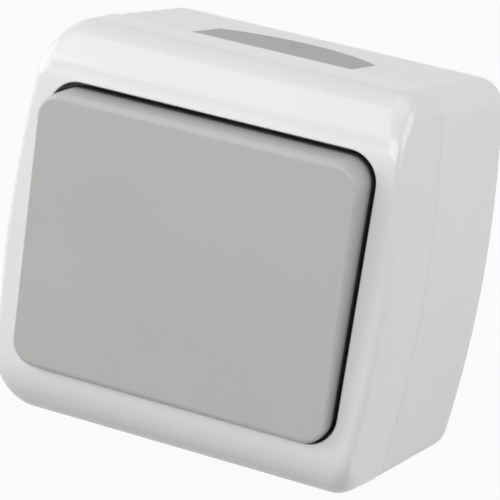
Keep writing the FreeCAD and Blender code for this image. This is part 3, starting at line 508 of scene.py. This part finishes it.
def cover_inside():
    """Rows from the opening's edge down the well, through its window and back along the inner
    faces."""
    rows = []
    for inset, down in quarter_round(OPENING_EDGE, (18.0, 36.0, 54.0, 72.0, 90.0)):
        rows.append(row(opening(inset), lambda x, z: front_face(x, z) - down))
    for depth in WELL_DEPTHS + (WELL_FLOOR_DEPTH + WELL_CORNER,):
        rows.append(row(opening(0.0), depth))
    rows.append(row(opening(-WELL_CORNER_MIDDLE), WELL_FLOOR_DEPTH + WELL_CORNER_MIDDLE))
    rows.append(row(opening(-WELL_CORNER), WELL_FLOOR_DEPTH))
    window = outline(WINDOW_X, WINDOW_Z, WINDOW_CORNER)
    for share in WELL_FLOOR_SHARES:
        rows.append(row(between(opening(-WELL_CORNER), window, share), WELL_FLOOR_DEPTH))
    collar = opening(COLLAR_WALL)
    rows.append(row(window, WELL_BACK))
    rows.append(row(between(window, collar, 0.5), WELL_BACK))
    rows.append(row(collar, WELL_BACK))
    inner_radius = FRONT_RADIUS - WALL
    flat = cover_half(ROUND_START) - WALL - inner_radius

    def inner_front(x, z):
        over = min(max(abs(z) - flat, 0.0), inner_radius)
        return ROUND_START + math.sqrt(inner_radius ** 2 - over ** 2)
    rows.append(row(collar, inner_front))
    for turn in (66.0, 54.0, 42.0, 30.0, 18.0, 6.0, 0.0):
        height = flat + inner_radius * math.cos(math.radians(turn))
        points = outline(HALF_WIDTH - WALL, height, CORNER_RADIUS - WALL, BOW_RADIUS - WALL)
        rows.append(row(points, lambda x, z: inner_front(x, height)))
    rebate = bowed_outline(BASE_HALF, GASKET_INSET)
    rows.append(row(points, GASKET_FRONT))
    rows.append(row(rebate, GASKET_FRONT))
    rows.append(row(rebate, SEAM_DEPTH))
    return rows


def front_cover():
    """Shell with its well, gussets and the holes for its two screws."""
    form = bmesh.new()
    skin(form, cover_outside() + cover_inside(), around=True)
    shell = finished_mesh("front_cover_shell", form)
    holes = bmesh.new()
    for side in (-1, 1):
        bar(holes, side * COVER_POST_X, -side * COVER_POST_Z, WELL_BACK - CUT_PAST,
            WELL_FLOOR_DEPTH + CUT_PAST, COVER_HOLE)
    shell = cut(shell, finished_mesh("cover_holes", holes))
    form = bmesh.new()
    form.from_mesh(shell)
    form.transform(Matrix.Scale(1 / MM, 4))
    for x in (-GUSSET_PITCH, 0.0, GUSSET_PITCH):
        for end in (-1, 1):
            low, high = sorted((end * (OPENING_Z + COLLAR_WALL / 2),
                                end * (BASE_HALF - WALL / 2 - GUSSET_SHORT)))
            block(form, x - GUSSET / 2, x + GUSSET / 2, WELL_BACK, GUSSET_FRONT, low, high)
    place("front_cover_smooth", finished_mesh("front_cover_smooth", form), "housing_white",
          "housing", "front_cover")


# Base box

def base_points(inset, depth):
    """The base's outline at a depth, which widens from the wall to the seam."""
    rise = BASE_TAPER * (SEAM_DEPTH - depth) / SEAM_DEPTH
    return bowed_outline(BASE_HALF - rise, inset)


def entry_points(inset):
    """D shape of a cable entry in (x, depth), its straight side at the seam."""
    radius = (ENTRY_HALF ** 2 + ENTRY_ARCH ** 2) / (2 * ENTRY_ARCH)
    centre = ENTRY_BACK + radius
    radius -= inset
    half = ENTRY_HALF - inset
    widest = math.asin(half / radius)
    shoulder = centre - radius * math.cos(widest)
    arch = []
    for step in range(ARCH_STEPS + 1):
        angle = -widest + 2 * widest * step / ARCH_STEPS
        arch.append((radius * math.sin(angle), centre - radius * math.cos(angle)))
    left = [(-half, depth) for depth in run(SEAM_DEPTH, shoulder, ENTRY_SIDE_STEPS)]
    right = [(half, depth) for depth in run(shoulder, SEAM_DEPTH, ENTRY_SIDE_STEPS)]
    front = [(x, SEAM_DEPTH) for x in run(half, -half, ENTRY_FRONT_STEPS)]
    return [(-half, SEAM_DEPTH)] + left + arch + right + [(half, SEAM_DEPTH)] + front


def entry_row(inset, below, front=0.0):
    """D shape at a distance under the wall's outer face, its front edge moved forward."""
    points = []
    for x, depth in entry_points(inset):
        forward = front if depth > SEAM_DEPTH - ON_SEAM else 0.0
        points.append(Vector((x, -depth - forward, BASE_HALF - below)))
    return points


def lean(end):
    """Lean by the base's taper about the wall's edge at the seam, mirrored for the bottom wall."""
    hinge = Matrix.Translation((0.0, -SEAM_DEPTH, BASE_HALF))
    angle = -math.atan(BASE_TAPER / SEAM_DEPTH)
    turn = hinge @ Matrix.Rotation(angle, 4, "X") @ hinge.inverted()
    return Matrix.Diagonal((1.0, 1.0, end, 1.0)) @ turn


def post(form, x, z, top):
    """Square post with its pilot hole."""
    square = outline(POST_HALF, POST_HALF, POST_CORNER)
    outer = [(x + px, z + pz) for px, pz in square]
    inner = [(x + PILOT_RADIUS * px / math.hypot(px, pz),
              z + PILOT_RADIUS * pz / math.hypot(px, pz)) for px, pz in square]
    skin(form, [row(outer, FLOOR / 2), row(outer, top), row(inner, top),
                row(inner, top - PILOT_DEPTH)])


def base_tray():
    """Tray with its posts, webs and pads, before anything is cut."""
    form = bmesh.new()
    rows = []
    for inset, depth in quarter_round(BACK_EDGE, (0.0, 30.0, 60.0, 90.0)):
        rows.append(row(base_points(inset, depth), depth))
    for depth in BASE_DEPTHS:
        rows.append(row(base_points(0.0, depth), depth))
    for back, inset in quarter_round(SEAM_EDGE, (0.0, 45.0, 90.0)):
        depth = SEAM_DEPTH - back
        rows.append(row(base_points(inset, depth), depth))
    rows.append(row(base_points(WALL, SEAM_DEPTH), SEAM_DEPTH))
    for depth in TRAY_DEPTHS + (FLOOR + FLOOR_CORNER,):
        rows.append(row(base_points(WALL, depth), depth))
    rows.append(row(base_points(WALL + FLOOR_CORNER, FLOOR), FLOOR))
    skin(form, rows)
    reach = FIXING_HALF - FIXING_RADIUS + PAD_RADIUS
    for sx in (-1, 1):
        post(form, sx * MIDDLE_POST_X, 0.0, BODY_FRONT)
        post(form, sx * COVER_POST_X, -sx * COVER_POST_Z, WELL_BACK)
        inner, outer = sorted((sx * (MIDDLE_POST_X + POST_HALF - WEB_OVERLAP),
                               sx * (HALF_WIDTH - WALL / 2)))
        block(form, inner, outer, FLOOR / 2, WEB_FRONT, -GUSSET / 2, GUSSET / 2)
        for sz in (-1, 1):
            block(form, sx * FIXING_X - reach, sx * FIXING_X + reach, FLOOR / 2, PAD_FRONT,
                  sz * FIXING_Z - PAD_RADIUS, sz * FIXING_Z + PAD_RADIUS)
    return finished_mesh("base_tray", form)


def entry_notch(end):
    """Stepped notch of a cable entry, its outer edge rounded."""
    rows = [entry_row(-NOTCH_WIDER, -NOTCH_ABOVE, CUT_PAST)]
    for wider, below in quarter_round(ENTRY_EDGE, (0.0, 30.0, 60.0, 90.0)):
        rows.append(entry_row(-wider, below, CUT_PAST))
    rows += [entry_row(0.0, ENTRY_REBATE, CUT_PAST),
             entry_row(ENTRY_REBATE, ENTRY_REBATE, CUT_PAST),
             entry_row(ENTRY_REBATE, WALL + CUT_PAST, CUT_PAST)]
    form = bmesh.new()
    skin(form, rows)
    form.transform(lean(end))
    notch = bpy.data.meshes.new("notch")
    form.to_mesh(notch)
    form.free()
    return notch


def base_box():
    """Tray cut by its fixing slots, the knock-out and the two cable entries."""
    tray = base_tray()
    cutters = bmesh.new()
    bar(cutters, 0.0, 0.0, -CUT_PAST, KNOCKOUT_DEPTH, KNOCKOUT_RADIUS, steps=KNOCKOUT_STEPS)
    for sx in (-1, 1):
        for sz in (-1, 1):
            bar(cutters, sx * FIXING_X, sz * FIXING_Z, -CUT_PAST, PAD_FRONT + CUT_PAST,
                FIXING_RADIUS, 2 * (FIXING_HALF - FIXING_RADIUS), SLOT_STEPS)
    for end in (-1, 1):
        cutters.from_mesh(entry_notch(end))
    tray = cut(tray, finished_mesh("base_cutters", cutters))
    place("base_box_smooth", tray, "housing_white", "housing", "base_box", finish=BASE_FINISH)


# Rocker

def tilt():
    """Turn of the rocker's pieces at rest, in millimetres."""
    hinge = Matrix.Translation((0.0, -PIVOT_DEPTH, 0.0))
    return hinge @ Matrix.Rotation(math.radians(REST_TILT), 4, "X") @ hinge.inverted()


def rocker_row(inset, end_inset, depth):
    """The rocker's outline at a depth, moved inwards at its sides and at its ends."""
    points = outline(ROCKER_X - inset, ROCKER_Z - end_inset, ROCKER_RADIUS - end_inset)
    return row(points, depth)


def rocker_plate():
    """Cap with its rounded upper edges, hollow behind, with ribs and clip legs."""
    form = bmesh.new()
    rim = rocker_row(RIM_EDGE, RIM_EDGE, SKIRT_RIM)
    rows = [rim, rocker_row(RIM_EDGE_MIDDLE, RIM_EDGE_MIDDLE, SKIRT_RIM + RIM_EDGE_MIDDLE)]
    rows += [rocker_row(0.0, 0.0, depth) for depth in (SKIRT_RIM + RIM_EDGE,) + SKIRT_DEPTHS]
    for step in range(ROCKER_STEPS + 1):
        turn = math.pi / 2 * step / ROCKER_STEPS
        depth = ROCKER_FACE - ROCKER_END_RADIUS * (1 - math.sin(turn))
        over = max(depth - ROCKER_FACE + ROCKER_SIDE_RADIUS, 0.0)
        inset = ROCKER_SIDE_RADIUS - math.sqrt(max(ROCKER_SIDE_RADIUS ** 2 - over ** 2, 0.0))
        rows.append(rocker_row(inset, ROCKER_END_RADIUS * (1 - math.cos(turn)), depth))
    skin(form, rows, caps=False)
    hollow = [rim] + [rocker_row(ROCKER_WALL, ROCKER_WALL, depth)
                      for depth in (SKIRT_RIM, HOLLOW_DEPTH, TABLE_FRONT)]
    skin(form, hollow, caps=False)
    for loop in (rows[-1], hollow[-1]):
        form.faces.new([form.verts.new(point) for point in loop])
    form.normal_update()
    ribs_front = TABLE_FRONT + RIB_OVERLAP
    rib = (RIB_X - RIB_WIDTH, RIB_X, RIB_BACK, ribs_front, ROCKER_Z - RIB_INSET)
    leg = (LEG_X, LEG_X + LEG_WIDTH, LEG_BACK, ribs_front, LEG_HALF)
    hook = (LEG_X - HOOK, LEG_X + LEG_WIDTH, LEG_BACK, HOOK_FRONT, LEG_HALF)
    for side in (-1, 1):
        for x0, x1, back, front, half in (rib, leg, hook):
            low, high = sorted((side * x0, side * x1))
            block(form, low, high, back, front, -half, half, RIB_EDGE)
    for z in (-RIB_Z, RIB_Z):
        block(form, -ROCKER_X + RIB_INSET, ROCKER_X - RIB_INSET, RIB_BACK, ribs_front,
              z - RIB_WIDTH / 2, z + RIB_WIDTH / 2, RIB_EDGE)
    place("rocker_plate_smooth", finished_mesh("rocker_plate_smooth", form, tilt()),
          "rocker_grey", "rocker", "rocker_plate")


def plunger_spring():
    """Round wire coil between the bore's end and the plunger."""
    form = bmesh.new()
    rows = []
    count = SPRING_STEPS * SPRING_TURNS
    half = SPRING_WIRE / 2
    along = Vector((0.0, 1.0, 0.0))
    for step in range(count + 1):
        angle = 2 * math.pi * SPRING_TURNS * step / count
        out = Vector((math.cos(angle), 0.0, math.sin(angle)))
        depth = SPRING_FRONT - half - (SPRING_LENGTH - SPRING_WIRE) * step / count
        centre = SPRING_RADIUS * out - Vector((0.0, depth, 0.0))
        rows.append([centre + half * (math.cos(side) * out + math.sin(side) * along)
                     for side in (2 * math.pi * part / WIRE_STEPS for part in range(WIRE_STEPS))])
    skin(form, rows)
    spring = place("plunger_spring_wire", finished_mesh("plunger_spring_wire", form, tilt()),
                   "spring_steel", "rocker", "plunger_spring")
    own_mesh(spring)


# Soft pieces

def cable_seal(name, end):
    """Soft D-shaped plate that grips the wall's step, with a raised mark in its thin middle."""
    form = bmesh.new()
    rows = []
    for below, inset in quarter_round(SEAL_SOFT, (90.0, 67.0, 45.0, 22.0, 0.0)):
        rows.append(entry_row(SEAL_GAP + inset, ENTRY_RECESS + below))
    rows += [entry_row(SEAL_GAP, ENTRY_REBATE - SEAL_GAP),
             entry_row(ENTRY_REBATE + SEAL_GAP, ENTRY_REBATE - SEAL_GAP),
             entry_row(ENTRY_REBATE + SEAL_GAP, SEAL_UNDER),
             entry_row(SEAL_GAP + SEAL_CHAMFER, SEAL_UNDER),
             entry_row(SEAL_GAP, SEAL_UNDER + SEAL_LEAD),
             entry_row(SEAL_GAP + SEAL_CHAMFER, SEAL_END),
             entry_row(MEMBRANE_RIM, SEAL_END),
             entry_row(MEMBRANE_RIM, MEMBRANE_UNDER)]
    skin(form, rows)
    top = BASE_HALF - ENTRY_RECESS
    mark = []
    for radius, rise in MARK_PROFILE:
        mark.append([Vector((MARK_X + radius * math.cos(2 * math.pi * step / MARK_STEPS),
                             -MARK_DEPTH + radius * math.sin(2 * math.pi * step / MARK_STEPS),
                             top + rise)) for step in range(MARK_STEPS)])
    skin(form, mark)
    place(name + "_soft", finished_mesh(name + "_soft", form, lean(end)), "entry_grey",
          "housing", name)


def soft_ring(name, inner, outer, back, front):
    """Closed band whose four edges are rounded."""
    rows = []
    middle = between(inner, outer, 0.5)
    width = math.dist(inner[0], outer[0])
    flat = 1 - 2 * RING_EDGE / width
    curve = 1 - 0.6 * RING_EDGE / width
    for side, start, other in ((outer, back, front), (inner, front, back)):
        step = RING_EDGE if other > start else -RING_EDGE
        for share, depth in ((flat, start), (curve, start + 0.3 * step), (1.0, start + step),
                             (1.0, other - step), (curve, other - 0.3 * step), (flat, other)):
            rows.append(row(between(middle, side, share), depth))
    form = bmesh.new()
    skin(form, rows, around=True)
    place(name + "_soft", finished_mesh(name + "_soft", form), "seal_grey", "housing", name)


front_cover()
base_box()
rocker_plate()
plunger_spring()
cable_seal("cable_seal_top", 1.0)
cable_seal("cable_seal_bottom", -1.0)
soft_ring("cover_gasket", bowed_outline(BASE_HALF, GASKET_INSET + GASKET_WIDTH),
          bowed_outline(BASE_HALF, GASKET_INSET), SEAM_DEPTH, GASKET_FRONT)
soft_ring("window_seal", outline(WINDOW_X, WINDOW_Z, SEAL_WINDOW_CORNER),
          outline(SEAL_X, SEAL_Z, SEAL_CORNER), SEAL_BACK, WELL_BACK)


# Light, camera and floor

def area_light(name, towards, away, tall, width, height, power):
    """Soft box in a direction from the object, at a distance, its height near the direction
    tall."""
    data = bpy.data.lights.new(name, "AREA")
    data.shape = "RECTANGLE"
    data.size = width
    data.size_y = height
    data.energy = power
    lamp = new_object(name, data)
    back = Vector(towards).normalized()
    across = Vector(tall).cross(back).normalized()
    turn = Matrix((across, back.cross(across), back)).transposed()
    lamp.matrix_world = Matrix.Translation(Vector(LAMP_AIM) + back * away) @ turn.to_4x4()


def camera():
    """View from the right and above, turned clockwise as the photograph is."""
    azimuth, elevation, roll = (math.radians(value) for value in (AZIMUTH, ELEVATION, ROLL))
    back = Vector((math.sin(azimuth) * math.cos(elevation),
                   -math.cos(azimuth) * math.cos(elevation), math.sin(elevation)))
    level = Vector((math.cos(azimuth), math.sin(azimuth), 0.0))
    upright = back.cross(level)
    right = math.cos(roll) * level + math.sin(roll) * upright
    up = math.cos(roll) * upright - math.sin(roll) * level
    target = Vector(CAMERA_TARGET) * MM
    data = bpy.data.cameras.new("view")
    data.sensor_width = SENSOR
    data.lens = FOCAL_PIXELS * SENSOR / PICTURE_PIXELS
    data.clip_start, data.clip_end = 0.05, 20.0
    seen = new_object("view", data)
    turn = Matrix((right, up, back)).transposed()
    seen.matrix_world = Matrix.Translation(target + back * CAMERA_AWAY * MM) @ turn.to_4x4()
    bpy.context.scene.camera = seen


def seen_directly(tree):
    """1 for rays that show the background: camera, glossy and transmission."""
    path = new_node(tree, "ShaderNodeLightPath")
    seen = path.outputs["Is Camera Ray"]
    for kind in ("Is Glossy Ray", "Is Transmission Ray"):
        either = new_node(tree, "ShaderNodeMath")
        either.operation = "MAXIMUM"
        tree.links.new(seen, either.inputs[0])
        tree.links.new(path.outputs[kind], either.inputs[1])
        seen = either.outputs[0]
    return seen


def mix_shaders(tree, share, first, second, output_kind):
    """Surface that goes from the first shader to the second with the share."""
    mix = new_node(tree, "ShaderNodeMixShader")
    output = new_node(tree, output_kind)
    tree.links.new(share, mix.inputs["Fac"])
    tree.links.new(first.outputs[0], mix.inputs[1])
    tree.links.new(second.outputs[0], mix.inputs[2])
    tree.links.new(mix.outputs[0], output.inputs["Surface"])


def surroundings():
    """White behind the object, a plain soft light on it."""
    world = bpy.data.worlds.new("studio")
    bpy.context.scene.world = world
    tree = empty_tree(world)
    white = new_node(tree, "ShaderNodeBackground",
                     {"Color": (1.0, 1.0, 1.0, 1.0), "Strength": 1.0})
    soft = new_node(tree, "ShaderNodeBackground",
                    {"Color": (0.98, 0.99, 1.0, 1.0), "Strength": SOFT_STRENGTH})
    mix_shaders(tree, seen_directly(tree), soft, white, "ShaderNodeOutputWorld")


def floor():
    """Floor just under the part: grey to the light that falls on it, nearly white when seen."""
    height = cad_low.z - FLOOR_DROP
    corners = [(sx * FLOOR_HALF, sy * FLOOR_HALF, height)
               for sx, sy in ((-1, -1), (1, -1), (1, 1), (-1, 1))]
    mesh = bpy.data.meshes.new("floor")
    mesh.from_pydata(corners, [], [(0, 1, 2, 3)])
    ground = new_object("floor", mesh)
    material = bpy.data.materials.new("floor_white")
    tree = empty_tree(material)
    matt = new_node(tree, "ShaderNodeBsdfDiffuse",
                    {"Color": (FLOOR_GREY, FLOOR_GREY, FLOOR_GREY, 1.0)})
    glow = new_node(tree, "ShaderNodeEmission", {"Strength": 1.0})
    share = new_node(tree, "ShaderNodeMath", {1: FLOOR_GLOW_SHARE})
    share.operation = "MULTIPLY"
    tree.links.new(seen_directly(tree), share.inputs[0])
    mix_shaders(tree, share.outputs[0], matt, glow, "ShaderNodeOutputMaterial")
    ground.data.materials.append(material)


# Name, direction from the object, distance, direction of its height, width, height and power
LAMPS = (
    ("band", (-0.448, -0.439, 0.779), 1.2, (0.0, 0.871, 0.491), 0.45, 1.34, 2.5),
    ("front_low", (-0.40, -0.91, -0.03), 1.2, UPRIGHT, 1.4, 0.6, 3.0),
    ("left", (-0.93, -0.36, 0.18), 1.2, UPRIGHT, 1.6, 1.3, 15.0),
    ("front", (0.09, -0.97, 0.10), 1.0, UPRIGHT, 0.7, 1.1, 7.3),
    ("right", (0.95, 0.25, 0.22), 1.3, UPRIGHT, 1.9, 1.6, 18.3),
    ("top", (0.10, 0.40, 0.90), 1.2, (0.0, 1.0, -0.3), 1.0, 0.8, 2.4),
)

camera()
surroundings()
floor()
for lamp_values in LAMPS:
    area_light(*lamp_values)

bpy.context.scene.view_settings.view_transform = "Standard"
